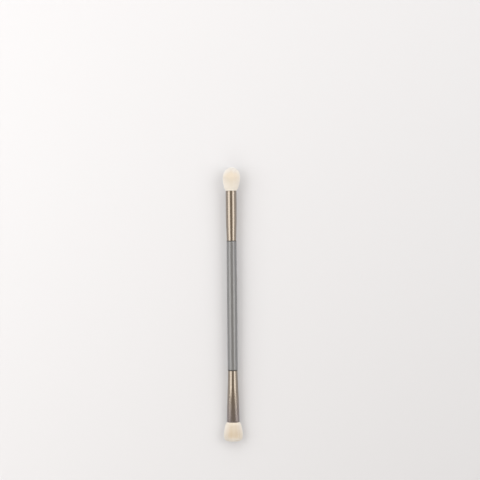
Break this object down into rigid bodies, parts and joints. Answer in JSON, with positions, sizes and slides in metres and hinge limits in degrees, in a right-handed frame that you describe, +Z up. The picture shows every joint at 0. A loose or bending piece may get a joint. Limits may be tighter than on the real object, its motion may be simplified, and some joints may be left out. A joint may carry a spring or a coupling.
{
  "type": "double ended makeup brush",
  "caption": "Slim lacquered handle with a metal ferrule and a tuft of soft hair at each end: a round domed blending head and a wider flat shading head.",
  "frame": {"origin": "on the surface that the brush lies on, under the middle of its length and width", "axes": "+Y along the brush towards the round head, +Z up, +X across the flat head"},
  "size_m": [0.012, 0.1708, 0.011],
  "materials": {
    "handle_lacquer": "turned wood under a satin warm grey lacquer",
    "ferrule_metal": "drawn tube, polished and anodised a pale bronze",
    "round_hair": "fine soft cream hair, packed into a dome",
    "flat_hair": "fine soft cream hair, packed into a flat fan",
    "tie_thread": "tight white binding thread",
    "set_resin": "set amber resin"
  },
  "bodies": {
    "root": {"handle": "handle_lacquer", "round_ferrule": "ferrule_metal", "flat_ferrule": "ferrule_metal", "round_tuft": "round_hair", "flat_tuft": "flat_hair", "round_tie": "tie_thread", "flat_tie": "tie_thread", "round_resin": "set_resin", "flat_resin": "set_resin"}
  },
  "joints": []
}
